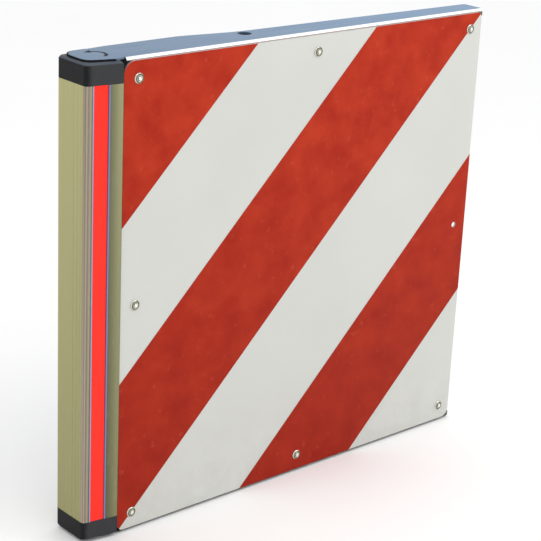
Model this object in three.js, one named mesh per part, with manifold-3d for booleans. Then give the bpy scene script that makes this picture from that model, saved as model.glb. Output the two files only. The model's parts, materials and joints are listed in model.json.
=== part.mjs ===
// Striped swing leaf of a parking barrier gate: a capped aluminium post that is screwed to a pillar,
// and a leaf that turns about two pivots in the post. The leaf is an open frame, two tapered arms and
// a stile, with a 423 mm warning panel riveted to its front.
// Millimetres, +Z up. The origin is on the post's flat left side, level with the pivots.
// +X runs from the post along the closed leaf, and the panel faces -Y.
import * as THREE from "three";
import { mergeVertices } from "three/addons/utils/BufferGeometryUtils.js";
import Module from "manifold-3d";

const wasm = await Module();
wasm.setup();

// ---- Driving dimensions ----

// Warning panel: the standard 423 mm square with 45 degree stripes, 141 mm along each edge.
const PANEL = 423;
const PANEL_HALF = PANEL / 2;
const PANEL_CORNERS = { upperLeft: 11, upperRight: 6, lowerRight: 9, lowerLeft: 7 };
const STRIPE_STEP = PANEL / 3;
const FILM = 0.25; // thickness of the red film, and of the white sheeting under it
const PANEL_THICK = 2; // plate, sheeting and film together

// Post: one extrusion with a cap at each end.
const POST_HALF = 194.5; // half of the extrusion's length
const POST_WIDTH = 33.25;
const POST_BACK = 20.5;
const POST_FRONT_RIGHT = -25.75; // the front is deepest next to the leaf and falls back to the left
const POST_FRONT_LEFT = -21.25;
const POST_WALL = 2.5;
const HOLLOW_FRONT = 4; // the wall in front of the hollow holds the strip's channel
const HOLLOW_CORNER = 1.5; // the hollow's front left corner starts this far behind the post's
const POST_BACK_CORNER = 4.5;
const CAP_EDGE = 210.75; // top of the upper cap's upright walls
const CAP_TOP = 212.75;
const CROWN_SIDE = 1.25; // the crown slopes in by this much at the sides and the back
const CROWN_FRONT = 3.25; // and by this much in front

// Pivot axis, on y = 0.
const PIVOT_X = 21.5;
const PIN_RADIUS = 4;
const RUNNING_GAP = 0.1;
const SWEEP = 31.5; // between its arms, the leaf keeps this far from the pivot axis

// Leaf.
const LEAF_LEFT = POST_WIDTH + 1.25; // left edge of the panel
const FRONT = -24.5; // front plane of the panel
const OVERHANG = 3; // the arms stand this far past the panel at the top and bottom
const LEAF_RIGHT = LEAF_LEFT + PANEL + 2.5;
const LEAF_HALF = PANEL_HALF + OVERHANG;
const DEEP_BACK = 21; // back of the deep part beside the post
const SHOULDER_START = 124;
const SHOULDER_END = 192;
const SHOULDER_END_BACK = 10.5;
const SHOULDER_EASE = 22; // how far the shoulder's ends stay straight
const SHOULDER_DIP = 3; // its deep end already falls by this much over that length
const TIP_BACK = 1.5;
const SHEET = 1.5; // the arms and the stile
const BEND = 3; // outer radius of the arms' front bend
const END_CHAMFER = 1.5; // corners of the arms' webs
const FLANGE_DEPTH = 24.5;
const GAP = 0.25; // joints between neighbouring pieces
const TOP_HOLE_RADIUS = 6.25;
const TOP_HOLE = [LEAF_LEFT + 147.5, 2];

// The upper arm's web ends in a tongue over the post's cap.
const TONGUE_LEFT = 3.75;
const TONGUE_FRONT = -21.5;
const TONGUE_BACK = 19.25;
const TONGUE_ROOT = 28;
const TONGUE_SLANT = 4.5; // its front edge falls back this far towards the left
const TONGUE_FRONT_ROUND = 8;
const TONGUE_BACK_ROUND = 16;
const TRIM = 0.75; // black edging round the tongue
const TRIM_DROP = 0.1; // the edging's top lies this far below the tongue's
const LUG_RADIUS = 14; // the lower arm ends in a round lug instead
const LUG_ROOT = [34.5, -17.5];

// Arrow engraved in the tongue, bent round the pivot: angles in radians, radii and lengths in mm.
const ARROW = { tail: -1.2, neck: 1.2, tip: 1.9, inner: 9, outer: 12, barb: 3, deep: 0.5 };

// Blind rivets.
const RIVET_INSET = 15;
const RIVET_RADIUS = 2.4;
const RIVET_HEAD_RADIUS = 4.7;
const RIVET_HOLE_RADIUS = 2.65;
const SPARE_HOLE_RADIUS = 2.75;
const RIVET_LENGTH = 6.5; // behind the panel's front
const RIVET_TIP_ROOM = 4; // a rivet's hole goes this much deeper
const RIVET_BUTTON = [[0, -2.1], [0.9, -2.1], [1.5, -1.9], [1.9, -1.4]]; // [radius, y] from the seat
const RIVET_GROOVE = [[2.2, -0.8], [2.7, -0.8], [3.2, -1.25]];
const RIVET_RIM = [[-0.8, -1.1], [-0.2, -0.5], [0, -0.2], [0, 0]]; // [radius past the head's, y]

// Screws in the back of the arms.
const SCREW_LENGTH = 12;
const SCREW_HEAD_RADIUS = 4.5;
const SCREW_HEAD_HEIGHT = 2;
const SCREW_HEAD_EASE = [1.25, 1]; // the head's edge slopes in by this much over this height
const SCREW_TIP_ROOM = 5; // a screw's hole goes this much deeper
const SCREW_CROSS = { half: 2.4, halfWidth: 0.4, deep: 1.25 };

const BEHIND_PANEL = FRONT + PANEL_THICK;
const BEHIND_FLANGE = BEHIND_PANEL + SHEET;
const FLANGE_Z = PANEL_HALF - FLANGE_DEPTH; // lower edge of the top arm's flanges
const FLANGE_LEFT = LEAF_LEFT + 11.5;
const FLANGE_RIGHT = LEAF_LEFT + PANEL - 1; // the front flanges end here, but for a stub
const STUB_Z = PANEL_HALF - 4; // under the bend that starts at this height
const BEND_LEFT = LEAF_LEFT + 4; // the arms' front bends end here, beside the post
const UNDERSIDE = LEAF_HALF - SHEET; // under the top arm's web
const MIDDLE_X = LEAF_LEFT + PANEL_HALF;

// ---- Materials ----

function material(color, roughness, metalness) {
  return new THREE.MeshStandardMaterial({ color, roughness, metalness });
}

const ANODISED = material(0xb3b07f, 0.35, 0.8);
const FRAME_GREY = material(0x6f8299, 0.35, 0.6);
const BLACK_PLASTIC = material(0x2b2b2d, 0.45, 0);
const NYLON = material(0xd8d5c8, 0.5, 0);
const STEEL = material(0x9a9c9e, 0.3, 0.9);
const RIVET_METAL = material(0xb9b9a8, 0.3, 0.9);
const PLATE_METAL = material(0xc4c6c8, 0.4, 0.8);
const WHITE_SHEETING = material(0xdededa, 0.5, 0);
const RED_FILM = material(0xbb3e2e, 0.45, 0);
const RED_REFLECTOR = material(0xff4434, 0.3, 0);

// ---- Geometry and boolean helpers ----

function toSolid(geometry) {
  const bare = geometry.clone();
  bare.deleteAttribute("normal");
  bare.deleteAttribute("uv");
  const merged = mergeVertices(bare, 1e-4);
  return new wasm.Manifold(
    new wasm.Mesh({
      numProp: 3,
      vertProperties: new Float32Array(merged.attributes.position.array),
      triVerts: new Uint32Array(merged.index.array),
    }),
  );
}

function toGeometry(solid) {
  const mesh = solid.getMesh();
  const geometry = new THREE.BufferGeometry();
  geometry.setAttribute("position", new THREE.BufferAttribute(new Float32Array(mesh.vertProperties), 3));
  geometry.setIndex(new THREE.BufferAttribute(new Uint32Array(mesh.triVerts), 1));
  geometry.computeVertexNormals();
  return geometry;
}

const join = (...solids) => solids.reduce((sum, solid) => sum.add(solid));
const cut = (solid, ...tools) => tools.reduce((rest, tool) => rest.subtract(tool), solid);

// A flat outline in X and Y, raised from z = low to z = high.
function prism(shape, low, high, curveSegments = 12) {
  const settings = { depth: high - low, bevelEnabled: false, curveSegments };
  const geometry = new THREE.ExtrudeGeometry(shape, settings);
  return toSolid(geometry.translate(0, 0, low));
}

function box([x0, y0, z0], [x1, y1, z1]) {
  const geometry = new THREE.BoxGeometry(x1 - x0, y1 - y0, z1 - z0);
  return toSolid(geometry.translate((x0 + x1) / 2, (y0 + y1) / 2, (z0 + z1) / 2));
}

// A closed solid between two outlines with the same number of points, one at z = low and one at z = high.
function loft(lowShape, highShape, low, high, curveSegments) {
  const lower = lowShape.getPoints(curveSegments).slice(0, -1);
  const upper = highShape.getPoints(curveSegments).slice(0, -1);
  const count = lower.length;
  const positions = [...lower.map((p) => [p.x, p.y, low]), ...upper.map((p) => [p.x, p.y, high])].flat();
  const index = [];
  for (let i = 0; i < count; i += 1) {
    const next = (i + 1) % count;
    index.push(i, next, count + next, i, count + next, count + i);
  }
  for (const [a, b, c] of THREE.ShapeUtils.triangulateShape(lower, [])) {
    index.push(c, b, a, count + a, count + b, count + c);
  }
  const geometry = new THREE.BufferGeometry();
  geometry.setAttribute("position", new THREE.Float32BufferAttribute(positions, 3));
  return toSolid(geometry.setIndex(index));
}

// An upright cylinder.
function disc(x, y, radius, low, high, segments = 32) {
  const geometry = new THREE.CylinderGeometry(radius, radius, high - low, segments).rotateX(Math.PI / 2);
  return toSolid(geometry.translate(x, y, (low + high) / 2));
}

// A cylinder along Y.
function drill(x, z, radius, front, back, segments = 24) {
  const geometry = new THREE.CylinderGeometry(radius, radius, back - front, segments);
  return toSolid(geometry.translate(x, (front + back) / 2, z));
}

// A solid of revolution about an upright axis, from [radius, z] points.
function turned(points, x, y, segments = 32) {
  const profile = points.map(([radius, z]) => new THREE.Vector2(radius, z));
  return toSolid(new THREE.LatheGeometry(profile, segments).rotateX(Math.PI / 2).translate(x, y, 0));
}

function mirrored(solid) {
  const geometry = toGeometry(solid).scale(1, 1, -1);
  const index = geometry.index.array;
  for (let i = 0; i < index.length; i += 3) {
    [index[i + 1], index[i + 2]] = [index[i + 2], index[i + 1]];
  }
  return toSolid(geometry);
}

const root = new THREE.Group();
const post = new THREE.Group();
const leaf = new THREE.Group();
root.add(post, leaf);

function add(group, name, solid, look) {
  const mesh = new THREE.Mesh(toGeometry(solid), look);
  mesh.name = name;
  group.add(mesh);
}

// The same piece at the top and, mirrored, at the bottom.
function addPair(group, name, solid, look) {
  add(group, name + "_top", solid, look);
  add(group, name + "_bottom", mirrored(solid), look);
}

// ---- Post ----

const CORNER_LEFT = -16.5; // the rounded front left corner runs from this y on the left side
const CORNER_RIGHT = 5.5; // to this x on the front

// y of the sloping front at a given x.
const FRONT_SLOPE = (POST_FRONT_RIGHT - POST_FRONT_LEFT) / (POST_WIDTH - CORNER_RIGHT);
const frontAt = (x) => POST_FRONT_LEFT + FRONT_SLOPE * (x - CORNER_RIGHT);

const STRIP_LEFT = 7.25;
const STRIP_RIGHT = 20;
const STRIP_DEPTH = 1.25;
const CHANNEL_LIP = 0.6; // each side of the strip's channel stands this far out of the front
const CHANNEL_LIP_WIDTH = 2;
const CHANNEL_LIP_FLAT = 1.5; // the flat top of a lip
const STRIP_RECESS = 0.25;
const SIDE_GROOVES = [-4.25, -9.25, -13.75]; // y of the fine grooves in the left side
const GROOVE = 0.5;
const CORNER_NOTCH = [[0, -17.25], [0.75, -17.75], [0.35, -18.5]];
const CORNER_RIB = [0.75, -20.5, 2.25, -21]; // its control point and its end
const CORNER_RIB_LEFT = 2.5; // the corner's second rib rises this far left of the corner's right end
const CORNER_RIB_TOP = 1.75; // and is full height from here
const BOW_X = 27.5; // the front bows out a little between the channel and the right edge

// Draws the post's right side, back and the rear of its left side, down to y = leftEnd. The sides and
// back are inset by a margin, and the front by its own.
function drawPostBack(shape, margin, leftEnd, front = margin) {
  const right = POST_WIDTH - margin;
  const back = POST_BACK - margin;
  shape.moveTo(right, frontAt(right) + front);
  shape.lineTo(right, back - POST_BACK_CORNER);
  shape.quadraticCurveTo(right, back, right - POST_BACK_CORNER, back);
  shape.lineTo(margin + POST_BACK_CORNER, back);
  shape.quadraticCurveTo(margin, back, margin, back - POST_BACK_CORNER);
  shape.lineTo(margin, leftEnd);
}

// The caps' outline: the post's, with a plain round corner at the front left.
function capOutline(side = 0, front = 0) {
  const right = POST_WIDTH - side;
  const cornerEnd = side + CORNER_RIGHT;
  const shape = new THREE.Shape();
  drawPostBack(shape, side, CORNER_LEFT + front, front);
  shape.quadraticCurveTo(side, frontAt(side) + front, cornerEnd, frontAt(cornerEnd) + front);
  shape.lineTo(right, frontAt(right) + front);
  return shape;
}

// The extrusion's full section: side grooves, ribs round the corner and the strip's channel.
function postSection() {
  const shape = new THREE.Shape();
  const front = (x, proud = 0) => shape.lineTo(x, frontAt(x) - proud);
  drawPostBack(shape, 0, SIDE_GROOVES[0] + 2 * GROOVE);
  for (const y of SIDE_GROOVES) {
    shape.lineTo(0, y + GROOVE);
    shape.lineTo(GROOVE, y);
    shape.lineTo(0, y - GROOVE);
  }
  for (const [x, y] of CORNER_NOTCH) {
    shape.lineTo(x, y);
  }
  shape.quadraticCurveTo(...CORNER_RIB);
  front(CORNER_RIGHT - CORNER_RIB_LEFT, -GROOVE);
  front(CORNER_RIGHT - CORNER_RIB_TOP, GROOVE);
  front(STRIP_LEFT - CHANNEL_LIP_WIDTH);
  front(STRIP_LEFT - CHANNEL_LIP_FLAT, CHANNEL_LIP);
  front(STRIP_LEFT - GAP, CHANNEL_LIP);
  front(STRIP_LEFT - GAP, -STRIP_DEPTH);
  front(STRIP_RIGHT + GAP, -STRIP_DEPTH);
  front(STRIP_RIGHT + GAP, CHANNEL_LIP);
  front(STRIP_RIGHT + CHANNEL_LIP_FLAT, CHANNEL_LIP);
  front(STRIP_RIGHT + CHANNEL_LIP_WIDTH);
  shape.quadraticCurveTo(BOW_X, frontAt(BOW_X) - GROOVE, POST_WIDTH, POST_FRONT_RIGHT);
  return shape;
}

// The hollow inside the extrusion, which the caps' plugs fill with a gap.
function postHollow(margin = 0) {
  const low = POST_WALL + margin;
  const right = POST_WIDTH - POST_WALL - margin;
  const back = POST_BACK - POST_WALL - margin;
  const path = new THREE.Shape();
  path.moveTo(low, CORNER_LEFT + HOLLOW_CORNER + margin);
  path.lineTo(CORNER_RIGHT + margin, POST_FRONT_LEFT + HOLLOW_FRONT + margin);
  path.lineTo(right, POST_FRONT_RIGHT + HOLLOW_FRONT + margin);
  path.lineTo(right, back);
  path.lineTo(low, back);
  return path;
}

function postProfile() {
  const section = postSection();
  section.holes.push(postHollow());
  return prism(section, -POST_HALF, POST_HALF, 6);
}

function reflectorStrip() {
  const shape = new THREE.Shape();
  const floor = STRIP_DEPTH - GAP;
  shape.moveTo(STRIP_LEFT, frontAt(STRIP_LEFT) + STRIP_RECESS);
  shape.lineTo(STRIP_RIGHT, frontAt(STRIP_RIGHT) + STRIP_RECESS);
  shape.lineTo(STRIP_RIGHT, frontAt(STRIP_RIGHT) + floor);
  shape.lineTo(STRIP_LEFT, frontAt(STRIP_LEFT) + floor);
  return prism(shape, -POST_HALF, POST_HALF);
}

const PLUG_DEPTH = 14;
const BUSH_RADIUS = 7;
const BUSH_FLANGE_RADIUS = 10;
const BUSH_FLANGE = 1; // thickness

function postCap() {
  const walls = loft(capOutline(), capOutline(), POST_HALF, CAP_EDGE, 8);
  const crown = loft(capOutline(), capOutline(CROWN_SIDE, CROWN_FRONT), CAP_EDGE, CAP_TOP, 8);
  const plug = prism(postHollow(GAP), POST_HALF - PLUG_DEPTH, POST_HALF);
  const bore = disc(PIVOT_X, 0, BUSH_RADIUS + GAP, POST_HALF - PLUG_DEPTH - 1, CAP_TOP + 1);
  const seat = disc(PIVOT_X, 0, BUSH_FLANGE_RADIUS + GAP, CAP_TOP - BUSH_FLANGE - GAP, CAP_TOP + 1);
  return cut(join(walls, crown, plug), bore, seat);
}

function pivotBush() {
  const bore = PIN_RADIUS + RUNNING_GAP;
  return turned(
    [
      [bore, POST_HALF - PLUG_DEPTH],
      [BUSH_RADIUS, POST_HALF - PLUG_DEPTH],
      [BUSH_RADIUS, CAP_TOP - BUSH_FLANGE],
      [BUSH_FLANGE_RADIUS, CAP_TOP - BUSH_FLANGE],
      [BUSH_FLANGE_RADIUS, CAP_TOP],
      [bore, CAP_TOP],
      [bore, POST_HALF - PLUG_DEPTH],
    ],
    PIVOT_X,
    0,
  );
}

add(post, "post_profile", postProfile(), ANODISED);
add(post, "reflector_strip", reflectorStrip(), RED_REFLECTOR);
addPair(post, "post_cap", postCap(), BLACK_PLASTIC);
addPair(post, "pivot_bush", pivotBush(), NYLON);

// ---- Leaf frame ----

// Draws an arm's back edge from left to right: straight, a falling shoulder, then a long taper.
function drawBack(shape, inset, left, right) {
  const taper = (TIP_BACK - SHOULDER_END_BACK) / (LEAF_RIGHT - SHOULDER_END);
  shape.lineTo(left, DEEP_BACK - inset);
  shape.lineTo(SHOULDER_START, DEEP_BACK - inset);
  shape.bezierCurveTo(
    SHOULDER_START + SHOULDER_EASE,
    DEEP_BACK - inset - SHOULDER_DIP,
    SHOULDER_END - SHOULDER_EASE,
    SHOULDER_END_BACK - inset - SHOULDER_EASE * taper,
    SHOULDER_END,
    SHOULDER_END_BACK - inset,
  );
  shape.lineTo(right, SHOULDER_END_BACK - inset + taper * (right - SHOULDER_END));
}

// An upright sheet that follows the back edge.
function backFlange(low, high) {
  const right = LEAF_RIGHT - GAP;
  const whole = new THREE.Shape();
  whole.moveTo(FLANGE_LEFT, FRONT);
  drawBack(whole, 0, FLANGE_LEFT, right);
  whole.lineTo(right, FRONT);
  const inside = new THREE.Shape();
  inside.moveTo(FLANGE_LEFT - 1, FRONT - 1);
  drawBack(inside, SHEET, FLANGE_LEFT - 1, right + 1);
  inside.lineTo(right + 1, FRONT - 1);
  return cut(prism(whole, low, high, 8), prism(inside, low - 1, high + 1, 8));
}

const sweep = (low, high) => disc(PIVOT_X, 0, SWEEP, low, high, 96);
const RIVET_Z = PANEL_HALF - RIVET_INSET;
const STILE_RIGHT = FLANGE_LEFT + 24;
const STILE_LEFT = FLANGE_LEFT - 4; // left end of the stile's hollowed side

const signRivets = {
  upper_left: [LEAF_LEFT + RIVET_INSET, RIVET_Z],
  upper_middle: [MIDDLE_X, RIVET_Z],
  upper_right: [LEAF_LEFT + PANEL - RIVET_INSET, RIVET_Z],
  middle_left: [LEAF_LEFT + RIVET_INSET, 0],
  lower_left: [LEAF_LEFT + RIVET_INSET, -RIVET_Z],
  lower_middle: [MIDDLE_X, -RIVET_Z],
  lower_right: [LEAF_LEFT + PANEL - RIVET_INSET, -RIVET_Z],
};
const holeStart = FRONT - 1;
const holeEnd = FRONT + RIVET_LENGTH + RIVET_TIP_ROOM;
const drillRivet = ([x, z]) => drill(x, z, RIVET_HOLE_RADIUS, holeStart, holeEnd);
const rivetHoles = Object.values(signRivets).map(drillRivet);
const spareHole = drill(LEAF_LEFT + PANEL - RIVET_INSET, 0, SPARE_HOLE_RADIUS, holeStart, holeEnd);

// Screws through an arm's back flange into its hinge block.
const BLOCK_LEFT = 40;
const BLOCK_RIGHT = 88;
const blockScrewX = [60, 78];
const screwHoleEnd = DEEP_BACK - SCREW_LENGTH - SCREW_TIP_ROOM;
const screwHoles = blockScrewX.map((x) => drill(x, RIVET_Z, RIVET_HOLE_RADIUS, screwHoleEnd, DEEP_BACK + 1));

// The front of an arm in section: flange, bend and the start of the web, along X between left and right.
function armFront(left, right, low) {
  const inner = BEND - SHEET;
  const centre = [BEHIND_PANEL + BEND, LEAF_HALF - BEND];
  const shape = new THREE.Shape();
  shape.moveTo(BEHIND_PANEL, low);
  shape.lineTo(BEHIND_PANEL, centre[1]);
  shape.absarc(...centre, BEND, Math.PI, Math.PI / 2, true);
  shape.lineTo(centre[0] + 1, LEAF_HALF);
  shape.lineTo(centre[0] + 1, UNDERSIDE);
  shape.lineTo(centre[0], UNDERSIDE);
  shape.absarc(...centre, inner, Math.PI / 2, Math.PI, false);
  shape.lineTo(BEHIND_FLANGE, low);
  const settings = { depth: right - left, bevelEnabled: false, curveSegments: 6 };
  const geometry = new THREE.ExtrudeGeometry(shape, settings);
  const yToX = new THREE.Matrix4().makeBasis(
    new THREE.Vector3(0, 1, 0),
    new THREE.Vector3(0, 0, 1),
    new THREE.Vector3(1, 0, 0),
  );
  return toSolid(geometry.applyMatrix4(yToX).translate(left, 0, 0));
}

// The upper arm's tongue over the post's cap, left of x = TONGUE_ROOT, set out by a margin.
function drawTongue(shape, margin = 0) {
  const left = TONGUE_LEFT - margin;
  const front = TONGUE_FRONT - margin;
  const back = TONGUE_BACK + margin;
  const cornerStart = left + TONGUE_FRONT_ROUND;
  const slope = TONGUE_SLANT / (TONGUE_ROOT - cornerStart);
  const corner = front + TONGUE_SLANT + slope * TONGUE_FRONT_ROUND;
  shape.lineTo(TONGUE_ROOT, front);
  shape.lineTo(cornerStart, front + TONGUE_SLANT);
  shape.quadraticCurveTo(left, corner, left, corner + TONGUE_FRONT_ROUND);
  shape.lineTo(left, back - TONGUE_BACK_ROUND);
  shape.quadraticCurveTo(left, back, left + TONGUE_BACK_ROUND, back);
  shape.lineTo(TONGUE_ROOT, back);
}

// The lower arm's narrower lug, round the pivot.
function drawLug(shape) {
  shape.lineTo(...LUG_ROOT);
  shape.lineTo(PIVOT_X, -LUG_RADIUS);
  shape.absarc(PIVOT_X, 0, LUG_RADIUS, -Math.PI / 2, Math.PI / 2, true);
}

// A flat arrow bent round the pivot, pointing the way the leaf swings.
function swingArrow(low, high) {
  const { tail, neck, tip, inner, outer, barb } = ARROW;
  const at = (radius, angle) => [PIVOT_X + radius * Math.cos(angle), radius * Math.sin(angle)];
  const shape = new THREE.Shape();
  shape.absarc(PIVOT_X, 0, outer, tail, neck, false);
  shape.lineTo(...at(outer + barb, neck));
  shape.lineTo(...at((inner + outer) / 2, tip));
  shape.lineTo(...at(inner - barb, neck));
  shape.absarc(PIVOT_X, 0, inner, neck, tail, true);
  return prism(shape, low, high);
}

// Arm: a tapered channel of bent sheet, whose web runs on over the post's cap to its pivot.
function arm(drawEnd) {
  const edge = BEHIND_PANEL + BEND;
  const outline = new THREE.Shape();
  outline.moveTo(FLANGE_LEFT, edge);
  outline.lineTo(BEND_LEFT, edge);
  outline.lineTo(BEND_LEFT - END_CHAMFER, edge - END_CHAMFER / 2);
  drawEnd(outline);
  drawBack(outline, 0, FLANGE_LEFT, LEAF_RIGHT - END_CHAMFER);
  outline.lineTo(LEAF_RIGHT, TIP_BACK - END_CHAMFER);
  outline.lineTo(LEAF_RIGHT, edge);
  const web = prism(outline, UNDERSIDE, LEAF_HALF, 8);
  const bend = armFront(BEND_LEFT, FLANGE_LEFT + 1, PANEL_HALF);
  const front = armFront(FLANGE_LEFT, LEAF_RIGHT, FLANGE_Z);
  const back = backFlange(FLANGE_Z, LEAF_HALF - 1);
  const hole = disc(...TOP_HOLE, TOP_HOLE_RADIUS, UNDERSIDE - 1, LEAF_HALF + 1, 48);
  const pastPanel = box([FLANGE_RIGHT, FRONT, FLANGE_Z - 1], [LEAF_RIGHT + 1, edge, STUB_Z]);
  return cut(join(web, bend, front, back), hole, pastPanel, ...rivetHoles, ...screwHoles);
}

// Edging round the free edge of the upper arm's tongue.
function tongueTrim() {
  const top = LEAF_HALF - TRIM_DROP;
  const slab = (margin, low, high) => {
    const shape = new THREE.Shape();
    shape.moveTo(TONGUE_ROOT, 0);
    drawTongue(shape, margin);
    return prism(shape, low, high, 8);
  };
  return cut(slab(GAP + TRIM, UNDERSIDE, top), slab(GAP, UNDERSIDE - 1, top + 1));
}

// Stile: hollowed round the pivot axis so that the leaf clears the post as it turns.
function hingeStile() {
  const low = GAP - FLANGE_Z;
  const high = FLANGE_Z - GAP;
  const ring = cut(disc(PIVOT_X, 0, SWEEP + SHEET, low, high, 96), sweep(low - 1, high + 1));
  const side = box([STILE_LEFT, BEHIND_PANEL, low], [STILE_RIGHT, DEEP_BACK, high]);
  const front = box([FLANGE_LEFT, BEHIND_PANEL, low], [STILE_RIGHT, BEHIND_FLANGE, high]);
  const back = box([FLANGE_LEFT, DEEP_BACK - SHEET, low], [STILE_RIGHT, DEEP_BACK, high]);
  return cut(join(ring.intersect(side), front, back), ...rivetHoles);
}

// Hinge block: fills the end of an arm beside the post, between the flanges, and stands on the stile.
function hingeBlock() {
  const front = BEHIND_PANEL + BEND;
  const back = DEEP_BACK - SHEET - GAP;
  const body = box([BLOCK_LEFT, front, FLANGE_Z], [BLOCK_RIGHT, back, UNDERSIDE]);
  return cut(body, sweep(FLANGE_Z - 1, UNDERSIDE + 1), ...rivetHoles, ...screwHoles);
}

const pivotPin = () => disc(PIVOT_X, 0, PIN_RADIUS, POST_HALF - PLUG_DEPTH, UNDERSIDE);

const arrow = swingArrow(LEAF_HALF - ARROW.deep, LEAF_HALF + 1);
add(leaf, "arm_top", cut(arm(drawTongue), arrow), FRAME_GREY);
add(leaf, "arm_bottom", mirrored(arm(drawLug)), FRAME_GREY);
add(leaf, "tongue_trim", tongueTrim(), BLACK_PLASTIC);
add(leaf, "hinge_stile", hingeStile(), FRAME_GREY);
addPair(leaf, "hinge_block", hingeBlock(), BLACK_PLASTIC);
addPair(leaf, "pivot_pin", pivotPin(), STEEL);

// ---- Warning panel ----

// The panel's square with rounded corners, from one depth to another.
function panelLayer(front, back) {
  const shape = new THREE.Shape();
  const { upperLeft, upperRight, lowerRight, lowerLeft } = PANEL_CORNERS;
  const right = LEAF_LEFT + PANEL;
  const corner = (x, z, radius, quarter) =>
    shape.absarc(x, z, radius, (quarter * Math.PI) / 2, ((quarter + 1) * Math.PI) / 2);
  corner(right - lowerRight, lowerRight - PANEL_HALF, lowerRight, 3);
  corner(right - upperRight, PANEL_HALF - upperRight, upperRight, 0);
  corner(LEAF_LEFT + upperLeft, PANEL_HALF - upperLeft, upperLeft, 1);
  corner(LEAF_LEFT + lowerLeft, lowerLeft - PANEL_HALF, lowerLeft, 2);
  const settings = { depth: back - front, bevelEnabled: false, curveSegments: 8 };
  const geometry = new THREE.ExtrudeGeometry(shape, settings);
  return toSolid(geometry.rotateX(Math.PI / 2).translate(0, back, 0));
}

// A diagonal band that rises to the right, between two heights above the lower left corner.
function stripe(low, high) {
  const far = PANEL + 1;
  const base = -PANEL_HALF;
  const shape = new THREE.Shape();
  shape.moveTo(LEAF_LEFT - 1, base + low - 1);
  shape.lineTo(LEAF_LEFT + far, base + low + far);
  shape.lineTo(LEAF_LEFT + far, base + high + far);
  shape.lineTo(LEAF_LEFT - 1, base + high - 1);
  const geometry = new THREE.ExtrudeGeometry(shape, { depth: 4, bevelEnabled: false });
  return toSolid(geometry.rotateX(Math.PI / 2).translate(0, FRONT + 2, 0));
}

const panelHoles = [...rivetHoles, spareHole];
const film = cut(panelLayer(FRONT, FRONT + FILM), ...panelHoles);
add(leaf, "stripe_upper", film.intersect(stripe(2 * STRIPE_STEP, 3 * STRIPE_STEP + 2)), RED_FILM);
add(leaf, "stripe_middle", film.intersect(stripe(0, STRIPE_STEP)), RED_FILM);
add(leaf, "stripe_lower", film.intersect(stripe(-2 * STRIPE_STEP, -STRIPE_STEP)), RED_FILM);
add(leaf, "sign_sheeting", cut(panelLayer(FRONT + FILM, FRONT + 2 * FILM), ...panelHoles), WHITE_SHEETING);
add(leaf, "sign_plate", cut(panelLayer(FRONT + 2 * FILM, BEHIND_PANEL), ...panelHoles), PLATE_METAL);

// ---- Rivets ----

// A blind rivet along Y: a domed head on the -Y side, a groove in it and the mandrel's button.
function rivet(x, seat, z) {
  const profile = [
    ...RIVET_BUTTON,
    ...RIVET_GROOVE,
    ...RIVET_RIM.map(([past, depth]) => [RIVET_HEAD_RADIUS + past, depth]),
    [RIVET_RADIUS, 0],
    [RIVET_RADIUS, RIVET_LENGTH],
    [0, RIVET_LENGTH],
  ];
  const points = profile.map(([radius, depth]) => new THREE.Vector2(radius, depth));
  return toSolid(new THREE.LatheGeometry(points, 24).translate(x, seat, z));
}

for (const [place, [x, z]] of Object.entries(signRivets)) {
  add(leaf, "sign_rivet_" + place, rivet(x, FRONT, z), RIVET_METAL);
}

// A pan-head screw in the back of an arm; its head is on the +Y side.
function blockScrew(x, z) {
  const start = DEEP_BACK - SCREW_LENGTH;
  const head = DEEP_BACK + SCREW_HEAD_HEIGHT;
  const [easeIn, easeHeight] = SCREW_HEAD_EASE;
  const profile = [
    [0, start],
    [RIVET_RADIUS, start],
    [RIVET_RADIUS, DEEP_BACK],
    [SCREW_HEAD_RADIUS, DEEP_BACK],
    [SCREW_HEAD_RADIUS, head - easeHeight],
    [SCREW_HEAD_RADIUS - easeIn, head],
    [0, head],
  ];
  const points = profile.map(([radius, y]) => new THREE.Vector2(radius, y));
  const body = toSolid(new THREE.LatheGeometry(points, 24).translate(x, 0, z));
  const floor = head - SCREW_CROSS.deep;
  const { half, halfWidth } = SCREW_CROSS;
  const across = box([x - half, floor, z - halfWidth], [x + half, head + 1, z + halfWidth]);
  const upright = box([x - halfWidth, floor, z - half], [x + halfWidth, head + 1, z + half]);
  return cut(body, across, upright);
}

for (const [side, z] of [["top", RIVET_Z], ["bottom", -RIVET_Z]]) {
  blockScrewX.forEach((x, i) => add(leaf, "block_screw_" + side + "_" + (i + 1), blockScrew(x, z), STEEL));
}

export default root;
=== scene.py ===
# Looks for the striped swing leaf of a parking barrier gate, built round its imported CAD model.
# Metres, in the CAD's frame: x = 0 is the post's flat left side, the panel faces -Y and +Z is up.
# Places on the part and sizes of its edges are given in millimetres and turned into metres by MM.
import json
import math

import bmesh
import bpy
from mathutils import Matrix, Vector

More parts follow.
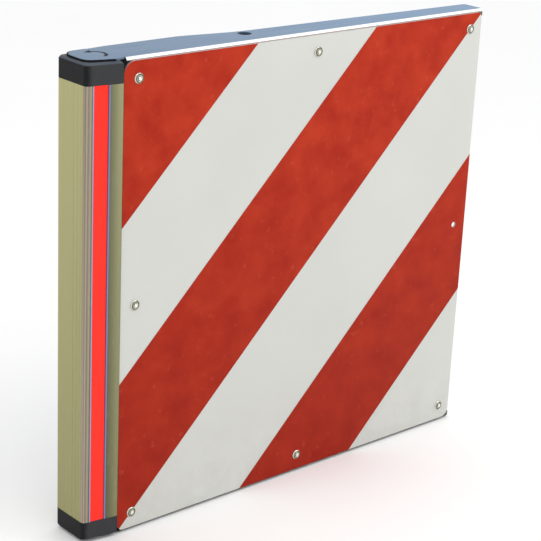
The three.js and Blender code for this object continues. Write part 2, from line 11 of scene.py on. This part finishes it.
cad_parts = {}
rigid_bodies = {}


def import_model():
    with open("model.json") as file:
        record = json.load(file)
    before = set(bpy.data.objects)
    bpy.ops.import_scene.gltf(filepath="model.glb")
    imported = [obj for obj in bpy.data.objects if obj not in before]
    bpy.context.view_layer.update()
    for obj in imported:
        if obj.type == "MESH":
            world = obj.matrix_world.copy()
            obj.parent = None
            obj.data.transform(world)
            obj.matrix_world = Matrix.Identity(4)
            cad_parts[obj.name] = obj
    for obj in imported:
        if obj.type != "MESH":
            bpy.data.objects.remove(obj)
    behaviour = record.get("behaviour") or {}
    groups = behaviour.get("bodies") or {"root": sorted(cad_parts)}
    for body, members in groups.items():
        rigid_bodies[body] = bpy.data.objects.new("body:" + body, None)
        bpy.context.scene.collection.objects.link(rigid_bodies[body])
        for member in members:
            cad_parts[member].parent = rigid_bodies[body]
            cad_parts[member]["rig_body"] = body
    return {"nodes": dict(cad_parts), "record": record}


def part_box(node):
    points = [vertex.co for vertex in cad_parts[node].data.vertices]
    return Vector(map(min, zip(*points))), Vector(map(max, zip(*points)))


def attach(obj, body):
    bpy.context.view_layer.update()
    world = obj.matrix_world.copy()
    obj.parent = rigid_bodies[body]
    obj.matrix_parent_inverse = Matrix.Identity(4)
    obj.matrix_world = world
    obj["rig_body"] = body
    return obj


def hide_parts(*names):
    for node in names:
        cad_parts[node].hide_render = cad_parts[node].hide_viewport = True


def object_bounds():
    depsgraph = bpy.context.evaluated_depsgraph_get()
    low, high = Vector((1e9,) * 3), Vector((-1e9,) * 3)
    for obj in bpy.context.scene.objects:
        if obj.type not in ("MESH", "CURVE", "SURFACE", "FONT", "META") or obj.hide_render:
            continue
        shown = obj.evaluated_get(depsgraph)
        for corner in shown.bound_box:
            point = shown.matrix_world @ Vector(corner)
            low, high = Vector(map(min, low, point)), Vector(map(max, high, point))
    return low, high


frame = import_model()
cad_low, cad_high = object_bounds()

MM = 0.001

# ---- Camera, light and floor ----

AIM = Vector((0.2228, -0.0009, -0.0111))
CAMERA_DISTANCE = 1.5602
CAMERA_AZIMUTH = math.radians(-41.86)
CAMERA_ELEVATION = math.radians(19.85)
CAMERA_ROLL = math.radians(2.74)
CAMERA_LENS = 112.4
CAMERA_CLIP = 0.01

WORLD_COLOUR = (0.99, 0.99, 1.0, 1)
WORLD_STRENGTH = 1.02

# Each light's direction from the aim, its distance, its size and its power.
SOFTBOXES = {
    "key_light": ((0.42, -0.50, 0.76), 1.15, 0.6, 2.7),
    "top_light": ((-0.35, -0.25, 0.90), 1.2, 0.5, 0.9),
    "glint_light": ((-0.04, -0.92, 0.42), 1.3, 0.16, 0.7),
}

FLOOR_HALF = 4.0


def place_camera():
    flat = math.cos(CAMERA_ELEVATION)
    back = Vector((
        math.sin(CAMERA_AZIMUTH) * flat,
        -math.cos(CAMERA_AZIMUTH) * flat,
        math.sin(CAMERA_ELEVATION),
    ))
    data = bpy.data.cameras.new("camera")
    data.lens = CAMERA_LENS
    data.clip_start = CAMERA_CLIP
    camera = bpy.data.objects.new("camera", data)
    bpy.context.scene.collection.objects.link(camera)
    turn = back.to_track_quat("Z", "Y").to_matrix().to_4x4()
    roll = Matrix.Rotation(CAMERA_ROLL, 4, "Z")
    camera.matrix_world = Matrix.Translation(AIM + back * CAMERA_DISTANCE) @ turn @ roll
    bpy.context.scene.camera = camera


def softbox(name, direction, distance, size, power):
    """A square area light that faces the object from a direction."""
    data = bpy.data.lights.new(name, "AREA")
    data.size = size
    data.energy = power
    light = bpy.data.objects.new(name, data)
    bpy.context.scene.collection.objects.link(light)
    towards = Vector(direction).normalized()
    light.location = AIM + towards * distance
    light.rotation_mode = "QUATERNION"
    light.rotation_quaternion = towards.to_track_quat("Z", "Y")


def light_studio():
    world = bpy.data.worlds.new("studio")
    world.use_nodes = True
    background = world.node_tree.nodes["Background"]
    background.inputs["Color"].default_value = WORLD_COLOUR
    background.inputs["Strength"].default_value = WORLD_STRENGTH
    bpy.context.scene.world = world
    bpy.context.scene.view_settings.view_transform = "Standard"
    for name, settings in SOFTBOXES.items():
        softbox(name, *settings)


# ---- Material helpers ----


def add_node(tree, kind, inputs, output=0, **settings):
    """Adds a node, gives its inputs values or links, and returns one output."""
    node = tree.nodes.new(kind)
    for key, value in settings.items():
        setattr(node, key, value)
    for socket, value in inputs.items():
        if isinstance(value, bpy.types.NodeSocket):
            tree.links.new(value, node.inputs[socket])
        else:
            node.inputs[socket].default_value = value
    return node.outputs[output]


def new_material(name, **constants):
    """A material with constant inputs set on its shader, its node tree and its shader."""
    material = bpy.data.materials.new(name + "_look")
    material.use_nodes = True
    tree = material.node_tree
    shader = tree.nodes["Principled BSDF"]
    for key, value in constants.items():
        shader.inputs[key.replace("_", " ")].default_value = value
    return material, tree, shader


def place(tree, scale=(1, 1, 1)):
    """The point's place on the piece in metres, stretched by a scale along each axis."""
    spot = add_node(tree, "ShaderNodeTexCoord", {}, "Object")
    return add_node(tree, "ShaderNodeMapping", {"Vector": spot, "Scale": scale})


def along(tree, axis):
    """The point's place along one of the piece's axes, in metres."""
    return add_node(tree, "ShaderNodeSeparateXYZ", {0: place(tree)}, axis)


def noise(tree, scale, detail=3, roughness=0.5, stretch=(1, 1, 1)):
    """Noise with features about 1 / scale metres across."""
    inputs = {
        "Vector": place(tree, stretch),
        "Scale": scale,
        "Detail": detail,
        "Roughness": roughness,
    }
    return add_node(tree, "ShaderNodeTexNoise", inputs, "Fac")


def cells(tree, scale, stretch=(1, 1, 1)):
    """Distance to the middle of small cells, about 1 / scale metres across."""
    inputs = {"Vector": place(tree, stretch), "Scale": scale}
    return add_node(tree, "ShaderNodeTexVoronoi", inputs, "Distance")


def spread(tree, value, low, high, new_low=0.0, new_high=1.0):
    """Maps low..high to new_low..new_high, clamped."""
    inputs = {
        "Value": value,
        "From Min": low,
        "From Max": high,
        "To Min": new_low,
        "To Max": new_high,
    }
    return add_node(tree, "ShaderNodeMapRange", inputs)


def both(tree, a, b):
    """The product of two masks, or of a mask and a strength."""
    return add_node(tree, "ShaderNodeMath", {0: a, 1: b}, operation="MULTIPLY")


def blend_colours(tree, factor, a, b):
    return add_node(tree, "ShaderNodeMix", {0: factor, 6: a, 7: b}, 2, data_type="RGBA")


def past(tree, axis, edge, soft):
    """0 up to an edge in mm along an axis, then rising to 1 over soft; a negative soft turns it round."""
    return spread(tree, along(tree, axis), edge * MM, (edge + soft) * MM)


def between(tree, axis, low, high, soft):
    """1 between two places in mm along an axis, falling to 0 over soft."""
    return both(tree, past(tree, axis, low - soft, soft), past(tree, axis, high + soft, -soft))


def add_bump(tree, shader, height, distance, strength):
    """Bump from a height, of a distance in mm."""
    inputs = {"Height": height, "Distance": distance * MM, "Strength": strength}
    normal = add_node(tree, "ShaderNodeBump", inputs)
    tree.links.new(normal, shader.inputs["Normal"])


def finish(tree, shader, colour, roughness):
    tree.links.new(colour, shader.inputs["Base Color"])
    tree.links.new(roughness, shader.inputs["Roughness"])


def worn_edges(tree):
    """1 on convex edges, 0 on flat faces, broken up by noise."""
    sharpness = add_node(tree, "ShaderNodeNewGeometry", {}, "Pointiness")
    edge = spread(tree, sharpness, 0.52, 0.6)
    return both(tree, edge, spread(tree, noise(tree, 220, 4, 0.7), 0.4, 0.62))


def shade_in_corners(tree):
    """1 in concave corners, where painted shade goes, 0 elsewhere."""
    sharpness = add_node(tree, "ShaderNodeNewGeometry", {}, "Pointiness")
    return spread(tree, sharpness, 0.40, 0.49, 1, 0)


def scuffs(tree, stretch, strength):
    """Faint marks on flat faces, long where the stretch is small."""
    return spread(tree, noise(tree, 1, 5, 0.7, stretch), 0.56, 0.72, 0, strength)


def linear(red, green, blue):
    """An 0-255 screen colour as the linear colour that a shader takes."""
    def straight(value):
        value /= 255
        return value / 12.92 if value <= 0.04045 else ((value + 0.055) / 1.055) ** 2.4
    return (straight(red), straight(green), straight(blue), 1)


# ---- Materials ----

# Places on the post, in mm.
POST_LOW = -194
POST_LENGTH = 388
POST_FRONT_X = 5  # the painted shade of the front starts here, right of the rounded corner
POST_FRONT_Y = -17
FRONT_DARK_X = 21.5  # right of the strip the front's painted shade is darkest here
FRONT_PALE_X = 31  # and palest here, next to the leaf
CORNER_Y = -16.6  # the ribbed corner, with its painted highlights, lies in front of this
CORNER_X = (-1, 4.4)
LIP_Y = -19  # the channel's lips, with their painted bluish reflections, lie in front of this
LEFT_LIP_X = (5.9, 7.1)
RIGHT_LIP_X = (20.1, 21.4)


def anodised_look():
    """Champagne anodised extrusion: die lines along Z, a front darkened by painted shade, painted
    highlights on the ribbed corner and painted bluish reflections on the channel lips.
    """
    material, tree, shader = new_material("anodised", Metallic=0.5)
    die_lines = noise(tree, 1, 2, 0.6, (1100, 1100, 1.2))
    cloud = noise(tree, 14, 3, 0.5, (1, 1, 0.25))
    height = past(tree, "Z", POST_LOW, POST_LENGTH)
    low_side = blend_colours(tree, cloud, linear(158, 153, 103), linear(148, 146, 99))
    high_side = blend_colours(tree, cloud, linear(182, 178, 127), linear(173, 170, 118))
    side = blend_colours(tree, height, low_side, high_side)
    # Painted shade: the front is darker than the side, darkest right of the strip and lighter towards the
    # leaf.
    lighter_near_leaf = past(tree, "X", FRONT_DARK_X, FRONT_PALE_X - FRONT_DARK_X)
    shaded_low_front = blend_colours(tree, lighter_near_leaf, linear(84, 86, 60), linear(128, 128, 90))
    shaded_high_front = blend_colours(tree, lighter_near_leaf, linear(104, 107, 76), linear(152, 150, 112))
    front = blend_colours(tree, height, shaded_low_front, shaded_high_front)
    on_shaded_front = both(tree, past(tree, "X", POST_FRONT_X, 0.6), past(tree, "Y", POST_FRONT_Y, -2))
    colour = blend_colours(tree, on_shaded_front, side, front)

    # Painted highlights and shade: pale and dark stripes along the ribbed corner.
    rib_highlights = spread(tree, noise(tree, 1, 2, 0.5, (900, 900, 0.6)), 0.4, 0.6)
    corner_highlight_colour = blend_colours(tree, rib_highlights, linear(178, 164, 146), linear(132, 121, 108))
    on_corner = both(tree, between(tree, "X", *CORNER_X, 0.3), past(tree, "Y", CORNER_Y, -0.8))
    colour = blend_colours(tree, on_corner, colour, corner_highlight_colour)

    # Painted reflection: the channel's lips are bluish, the left one lighter.
    in_front = past(tree, "Y", LIP_Y, -1)
    lip_reflections = ((LEFT_LIP_X, linear(150, 160, 206)), (RIGHT_LIP_X, linear(120, 128, 176)))
    for span, lip_reflection_colour in lip_reflections:
        on_lip = both(tree, between(tree, "X", *span, 0.1), in_front)
        colour = blend_colours(tree, on_lip, colour, lip_reflection_colour)

    streaks = spread(tree, die_lines, 0.3, 0.7, 0, 0.2)
    colour = blend_colours(tree, streaks, colour, linear(108, 104, 74))
    colour = blend_colours(tree, scuffs(tree, (260, 260, 60), 0.1), colour, linear(206, 204, 180))
    finish(tree, shader, colour, spread(tree, die_lines, 0.3, 0.7, 0.36, 0.5))
    add_bump(tree, shader, die_lines, 0.05, 0.5)
    return material


# Places on the arms, in mm.
ARM_LENGTH = 460
WEB_Z = 213.2  # the upper arm's flat top, with its painted bluish reflection, starts here
HIGHLIGHT_Y = -20.1  # the painted highlight on its front bend lies in front of this
HIGHLIGHT_Z = 212.1  # above this
HIGHLIGHT_X = 38.4  # and right of this
ARM_FRONT_Y = -20.6  # the front flanges carry painted shade in front of this
ARM_FRONT_Z = 212.3  # and below this
LINE_Z = 211.3  # a thin brownish painted shadow line runs from here, behind the panel's top edge, to the highlight band
UNDERSIDE_Z = -210.5  # the lower arm has painted shade below this


def frame_look():
    """Bluish grey metal sheet: a painted bluer reflection on the upper arm's top, lighter towards the
    tip, a painted highlight on the front bend, painted shade in front and underneath, and scuffs.
    """
    material, tree, shader = new_material("frame", Metallic=0.6)
    grain = noise(tree, 1, 3, 0.6, (10, 420, 420))
    cloud = spread(tree, noise(tree, 7, 2, 0.5), 0.3, 0.7, 0, 0.2)
    # Painted reflection: the upper arm's top is bluer, lighter towards the tip; below it the sheet is
    # plain bluish grey.
    lighter_towards_tip = past(tree, "X", 0, ARM_LENGTH)
    colour = blend_colours(tree, lighter_towards_tip, linear(84, 116, 146), linear(98, 138, 174))
    colour = blend_colours(tree, cloud, colour, linear(78, 108, 140))
    streaks = spread(tree, grain, 0.35, 0.75, 0, 0.08)
    colour = blend_colours(tree, streaks, colour, linear(72, 94, 126))
    on_reflecting_web = past(tree, "Z", WEB_Z, 0.8)
    colour = blend_colours(tree, on_reflecting_web, linear(118, 126, 138), colour)
    colour = blend_colours(tree, scuffs(tree, (60, 400, 400), 0.12), colour, linear(176, 184, 196))

    # Painted highlight: a white band along the upper arm's front bend.
    on_highlit_bend = both(tree, past(tree, "Y", HIGHLIGHT_Y, -0.5), past(tree, "Z", HIGHLIGHT_Z, 0.3))
    on_painted_highlight = both(tree, on_highlit_bend, past(tree, "X", HIGHLIGHT_X, 0.2))
    colour = blend_colours(tree, on_painted_highlight, colour, linear(248, 250, 252))

    # Painted shade, broken up by noise: the front flanges below the bend and the lower arm's underside
    # are darker.
    patchy_shade = spread(tree, noise(tree, 120, 4, 0.65), 0.35, 0.65, 0.6, 1)
    on_shaded_front = both(tree, past(tree, "Y", ARM_FRONT_Y, -0.5), past(tree, "Z", ARM_FRONT_Z, -0.3))
    colour = blend_colours(tree, both(tree, on_shaded_front, patchy_shade), colour, linear(104, 100, 78))
    # Painted shadow: a thin brownish line between the panel's top edge and the highlight.
    on_shadow_line = both(tree, on_shaded_front, past(tree, "Z", LINE_Z, 0.1))
    colour = blend_colours(tree, on_shadow_line, colour, linear(190, 168, 158))
    # Painted shade under the lower arm.
    shaded_underneath = past(tree, "Z", UNDERSIDE_Z, -1)
    colour = blend_colours(tree, both(tree, shaded_underneath, patchy_shade), colour, linear(52, 52, 42))

    finish(tree, shader, colour, spread(tree, grain, 0.3, 0.7, 0.32, 0.4))
    add_bump(tree, shader, grain, 0.01, 0.25)
    return material


# Places on the caps, in mm.
CAP_FRONT_Y = -16  # the front's painted light starts here
CAP_FRONT_X = 2
CAP_TOP_Z = 210.8  # and the crown's painted bluish reflection here


def plastic_look():
    """Black moulded plastic with a spark-eroded grain, a front paler with painted light, a crown paler
    and bluish with a painted reflection, and scuffs.
    """
    material, tree, shader = new_material("black_plastic", Specular_IOR_Level=0.12)
    grain = noise(tree, 2200, 3, 0.6)
    cloud = noise(tree, 40, 3, 0.5)
    colour = blend_colours(tree, cloud, linear(22, 22, 24), linear(26, 26, 28))
    # Painted light: the front is paler than the sides.
    in_front = both(tree, past(tree, "Y", CAP_FRONT_Y, -3), past(tree, "X", CAP_FRONT_X, 4))
    colour = blend_colours(tree, in_front, colour, linear(55, 56, 58))
    # Painted reflection: the crown is paler and bluish.
    on_reflecting_crown = past(tree, "Z", CAP_TOP_Z, 0.6)
    colour = blend_colours(tree, on_reflecting_crown, colour, linear(76, 82, 90))
    colour = blend_colours(tree, scuffs(tree, (300, 300, 160), 0.12), colour, linear(90, 93, 98))
    finish(tree, shader, colour, spread(tree, cloud, 0.3, 0.7, 0.46, 0.52))
    add_bump(tree, shader, grain, 0.02, 0.3)
    return material


def edging_look():
    """Soft black edging, a little dusty on top, standing in for the dark shadow line along the tongue's
    edge.
    """
    material, tree, shader = new_material("edging", Specular_IOR_Level=0.1)
    dust = noise(tree, 300, 4, 0.6)
    dusty = spread(tree, dust, 0.45, 0.75)
    colour = blend_colours(tree, dusty, linear(10, 10, 11), linear(34, 35, 36))
    finish(tree, shader, colour, spread(tree, dust, 0.3, 0.7, 0.5, 0.65))
    add_bump(tree, shader, dust, 0.02, 0.4)
    return material


def paint_look():
    """Matt dark paint in the engraving, thin in places."""
    material, tree, shader = new_material("paint", Specular_IOR_Level=0.2)
    wear = noise(tree, 700, 4, 0.6)
    thin = spread(tree, wear, 0.5, 0.75)
    colour = blend_colours(tree, thin, linear(16, 17, 20), linear(40, 46, 56))
    finish(tree, shader, colour, spread(tree, wear, 0.3, 0.7, 0.5, 0.7))
    add_bump(tree, shader, wear, 0.05, 0.6)
    return material


def nylon_look():
    """Natural nylon, faintly mottled."""
    constants = {"Subsurface_Weight": 0.15, "Subsurface_Scale": 0.002}
    material, tree, shader = new_material("nylon", **constants)
    cloud = noise(tree, 160, 4, 0.6)
    colour = blend_colours(tree, cloud, linear(200, 196, 182), linear(214, 212, 202))
    finish(tree, shader, colour, spread(tree, cloud, 0.3, 0.7, 0.4, 0.55))
    add_bump(tree, shader, noise(tree, 1500), 0.02, 0.4)
    return material


def bare_metal(name, dark, light, grain_stretch):
    """Stained bare metal with a grain, and its tree, shader, colour and grain."""
    material, tree, shader = new_material(name, Metallic=0.85)
    grain = noise(tree, 1, 3, 0.65, grain_stretch)
    stain = noise(tree, 90, 5, 0.6)
    add_bump(tree, shader, grain, 0.03, 0.4)
    return material, tree, shader, blend_colours(tree, stain, dark, light), grain


def zinc_steel_look():
    """Zinc-plated steel of the pins and screws, with bright edges and painted shade in its corners."""
    zinc = bare_metal("zinc_steel", linear(150, 152, 154), linear(182, 184, 186), (90, 90, 900))
    material, tree, shader, colour, grain = zinc
    edges = both(tree, worn_edges(tree), 0.7)
    colour = blend_colours(tree, edges, colour, linear(228, 228, 222))
    # Painted shade in concave corners.
    corners = both(tree, shade_in_corners(tree), 0.8)
    colour = blend_colours(tree, corners, colour, linear(62, 60, 42))
    finish(tree, shader, colour, spread(tree, grain, 0.3, 0.7, 0.25, 0.4))
    return material


PLATE_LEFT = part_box("sign_plate")[0].x / MM
PLATE_RIM = 0.4  # the plate's left edge carries painted shade for this far, in mm


def plate_look():
    """Mill-finished plate behind the sheeting: scuffed, with painted shade along its left edge."""
    mill = bare_metal("plate", linear(164, 167, 170), linear(184, 187, 190), (14, 500, 500))
    material, tree, shader, colour, grain = mill
    colour = blend_colours(tree, scuffs(tree, (40, 300, 300), 0.3), colour, linear(214, 216, 218))
    # Painted shade along the left edge, next to the post.
    on_painted_rim = past(tree, "X", PLATE_LEFT + PLATE_RIM, -0.2)
    colour = blend_colours(tree, on_painted_rim, colour, linear(70, 72, 74))
    finish(tree, shader, colour, spread(tree, grain, 0.3, 0.7, 0.35, 0.5))
    return material


# Places on a rivet's head, in mm, for its painted highlights and reflection: the ring's crest, the rim
# behind it and the button.
RING_Y = -25.55
RIM_Y = -25.25
BUTTON_Y = -26.0


def rivet_look():
    """Aluminium rivet: a painted highlight on the rim, a dull olive painted reflection on the ring inside
    it, mottled and stained, and a painted highlight on the button.
    """
    material, tree, shader = new_material("rivet", Metallic=0.8)
    stain = noise(tree, 400, 4, 0.6)
    # Painted reflection: the ring is dull olive, mottled by the stain noise.
    colour = blend_colours(tree, stain, linear(84, 82, 58), linear(122, 120, 94))
    # Painted highlights on the rim and the button.
    on_painted_rim = past(tree, "Y", RING_Y, RIM_Y - RING_Y)
    colour = blend_colours(tree, on_painted_rim, colour, linear(216, 216, 206))
    on_highlit_button = past(tree, "Y", BUTTON_Y, -0.3)
    colour = blend_colours(tree, on_highlit_button, colour, linear(240, 240, 232))
    stained = spread(tree, stain, 0.55, 0.75, 0, 0.3)
    colour = blend_colours(tree, stained, colour, linear(120, 116, 92))
    finish(tree, shader, colour, spread(tree, stain, 0.3, 0.7, 0.14, 0.26))
    add_bump(tree, shader, stain, 0.02, 0.3)
    return material


BLOTCH_Z = -120  # the sheeting has darker blotches below this height, in mm


def sheeting_look():
    """White reflective sheeting: a fine bead texture under a clear film, faintly clouded."""
    material, tree, shader = new_material("white_sheeting", Specular_IOR_Level=0.35)
    beads = cells(tree, 1800)
    cloud = noise(tree, 9, 4, 0.55)
    clouded = spread(tree, cloud, 0.3, 0.7)
    colour = blend_colours(tree, clouded, linear(199, 200, 194), linear(204, 205, 199))
    beaded = spread(tree, beads, 0.1, 0.6, 0, 0.1)
    colour = blend_colours(tree, beaded, colour, linear(176, 178, 174))
    blotches = spread(tree, noise(tree, 45, 5, 0.65), 0.4, 0.7, 0, 0.2)
    low_blotches = both(tree, past(tree, "Z", BLOTCH_Z, -92), blotches)
    colour = blend_colours(tree, low_blotches, colour, linear(150, 146, 136))
    finish(tree, shader, colour, spread(tree, cloud, 0.3, 0.7, 0.42, 0.55))
    add_bump(tree, shader, beads, 0.02, 0.3)
    return material


FILM_LOW = -190  # the film's painted shade is darkest here, in mm
FILM_RISE = 330  # and palest this far above


def red_film_look():
    """Red film over the sheeting, with soft clouds and lighter specks, and painted shade making it darker
    lower down.
    """
    material, tree, shader = new_material("red_film", Specular_IOR_Level=0.1)
    cloud = noise(tree, 36, 5, 0.6)
    clouded = spread(tree, cloud, 0.32, 0.68)
    high = blend_colours(tree, clouded, linear(160, 34, 14), linear(180, 52, 26))
    low = blend_colours(tree, clouded, linear(142, 27, 10), linear(158, 40, 19))
    # Painted shade: darker lower down.
    colour = blend_colours(tree, past(tree, "Z", FILM_LOW, FILM_RISE), low, high)
    specks = both(tree, spread(tree, noise(tree, 120, 3, 0.5), 0.62, 0.74), 0.22)
    colour = blend_colours(tree, specks, colour, linear(200, 88, 72))
    finish(tree, shader, colour, spread(tree, cloud, 0.3, 0.7, 0.42, 0.55))
    add_bump(tree, shader, noise(tree, 1800), 0.015, 0.3)
    return material


def reflector_look():
    """Fluorescent red reflector with a fine prismatic back and a faint painted glow."""
    constants = {
        "Specular_IOR_Level": 0.2,
        # Painted glow: the reflector gives off a little red light of its own.
        "Emission_Color": linear(255, 30, 18),
        "Emission_Strength": 0.12,
    }
    material, tree, shader = new_material("red_reflector", **constants)
    prisms = cells(tree, 700, (1, 0, 1))
    cloud = noise(tree, 30, 3, 0.5)
    colour = blend_colours(tree, cloud, linear(250, 50, 34), linear(244, 44, 30))
    prismatic = spread(tree, prisms, 0.1, 0.6, 0, 0.14)
    colour = blend_colours(tree, prismatic, colour, linear(220, 32, 22))
    finish(tree, shader, colour, spread(tree, cloud, 0.3, 0.7, 0.3, 0.42))
    add_bump(tree, shader, prisms, 0.03, 0.3)
    return material


def floor_look():
    """Pale smooth studio floor."""
    material, tree, shader = new_material("floor", Roughness=0.7)
    cloud = noise(tree, 2, 4, 0.5)
    colour = blend_colours(tree, cloud, linear(248, 248, 247), linear(251, 251, 250))
    tree.links.new(colour, shader.inputs["Base Color"])
    add_bump(tree, shader, noise(tree, 300, 4), 0.1, 0.1)
    return material


# The finish of each material slot in the record.
LOOKS = {
    "anodised": anodised_look(),
    "frame": frame_look(),
    "black_plastic": plastic_look(),
    "nylon": nylon_look(),
    "zinc_steel": zinc_steel_look(),
    "rivet": rivet_look(),
    "plate": plate_look(),
    "white_sheeting": sheeting_look(),
    "red_film": red_film_look(),
    "red_reflector": reflector_look(),
}

# The black edging on the tongue stands in for the shadow line under the tongue's edge.
SHADOW_LINE_EDGING = edging_look()

# ---- Pieces ----

SAME_POINT = 0.002  # vertices this close are merged, in mm
SAME_PLANE = math.radians(1)
SHARP = math.radians(28)
BEVEL_STEPS = 3

# How far a node's sharp edges are rounded, in mm, by the start of its name.
EDGE_RADIUS = {
    "post_profile": 0.12,
    "reflector_strip": 0.2,
    "post_cap": 1.5,
    "pivot_bush": 0.3,
    "pivot_pin": 0.4,
    "tongue_trim": 0.12,
    "arm": 0.4,
    "hinge_stile": 0.4,
    "hinge_block": 0.8,
    "block_screw": 0.15,
    "sign_rivet": 0.1,
    "sign_plate": 0.3,
    "sign_sheeting": 0.05,
    "stripe": 0.05,
}


def edge_radius(node):
    return next(size for start, size in EDGE_RADIUS.items() if node.startswith(start)) * MM


def look_of(node):
    """The slot a node takes its finish from, and its material."""
    slot_name = frame["nodes"][node].data.materials[0].name
    return slot_name, SHADOW_LINE_EDGING if node == "tongue_trim" else LOOKS[slot_name]


def refine(node, slot_name, look, radius):
    """A copy of a CAD node with its flat faces merged and its sharp edges rounded."""
    source = frame["nodes"][node]
    mesh = bpy.data.meshes.new(node + "_skin")
    form = bmesh.new()
    form.from_mesh(source.data)
    bmesh.ops.remove_doubles(form, verts=form.verts, dist=SAME_POINT * MM)
    bmesh.ops.dissolve_limit(form, angle_limit=SAME_PLANE, verts=form.verts, edges=form.edges)
    sharp = [e for e in form.edges if len(e.link_faces) == 2 and e.calc_face_angle() > SHARP]
    bmesh.ops.bevel(
        form,
        geom=sharp,
        offset=radius,
        segments=BEVEL_STEPS,
        profile=0.5,
        affect="EDGES",
        clamp_overlap=True,
    )
    for face in form.faces:
        face.smooth = True
    form.to_mesh(mesh)
    form.free()
    mesh.materials.append(look)
    piece = bpy.data.objects.new(node + "_skin", mesh)
    bpy.context.scene.collection.objects.link(piece)
    piece.modifiers.new("normals", "WEIGHTED_NORMAL")
    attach(piece, source["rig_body"])
    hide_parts(node)


# The paint in the engraved arrow, a little narrower than its groove: angles in radians, the rest
# in mm.
ARROW_TAIL = -1.19
ARROW_NECK = 1.2
ARROW_TIP = 1.88
ARROW_INNER = 9.1
ARROW_OUTER = 11.9
ARROW_BARB = 2.85
ARROW_STEPS = 32
PAINT_DEPTH = 0.12  # below the top of the arm


def paint_arrow():
    """Paint in the swing arrow engraved in the upper arm's tongue."""
    joint = frame["record"]["behaviour"]["joints"][0]
    pivot = Vector(joint["pos_m"][:2]) / MM
    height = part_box("arm_top")[1].z - PAINT_DEPTH * MM

    def at(radius, angle):
        x, y = (pivot + radius * Vector((math.cos(angle), math.sin(angle)))) * MM
        return (x, y, height)

    sweep = ARROW_NECK - ARROW_TAIL
    turns = [ARROW_TAIL + sweep * step / ARROW_STEPS for step in range(ARROW_STEPS + 1)]
    rim = [at(ARROW_OUTER, turn) for turn in turns]
    head = [
        at(ARROW_OUTER + ARROW_BARB, ARROW_NECK),
        at((ARROW_INNER + ARROW_OUTER) / 2, ARROW_TIP),
        at(ARROW_INNER - ARROW_BARB, ARROW_NECK),
    ]
    back = [at(ARROW_INNER, turn) for turn in reversed(turns)]
    outline = rim + head + back
    mesh = bpy.data.meshes.new("arrow_paint")
    mesh.from_pydata(outline, [], [range(len(outline))])
    mesh.materials.append(paint_look())
    paint = bpy.data.objects.new("arrow_paint", mesh)
    bpy.context.scene.collection.objects.link(paint)
    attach(paint, frame["nodes"]["arm_top"]["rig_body"])


def lay_floor():
    half = FLOOR_HALF
    mesh = bpy.data.meshes.new("floor")
    corners = [(-half, -half, 0), (half, -half, 0), (half, half, 0), (-half, half, 0)]
    mesh.from_pydata(corners, [], [(0, 1, 2, 3)])
    mesh.materials.append(floor_look())
    floor = bpy.data.objects.new("floor", mesh)
    floor.location.z = cad_low.z
    bpy.context.scene.collection.objects.link(floor)


for name in sorted(frame["nodes"]):
    refine(name, *look_of(name), edge_radius(name))
paint_arrow()
place_camera()
light_studio()
lay_floor()
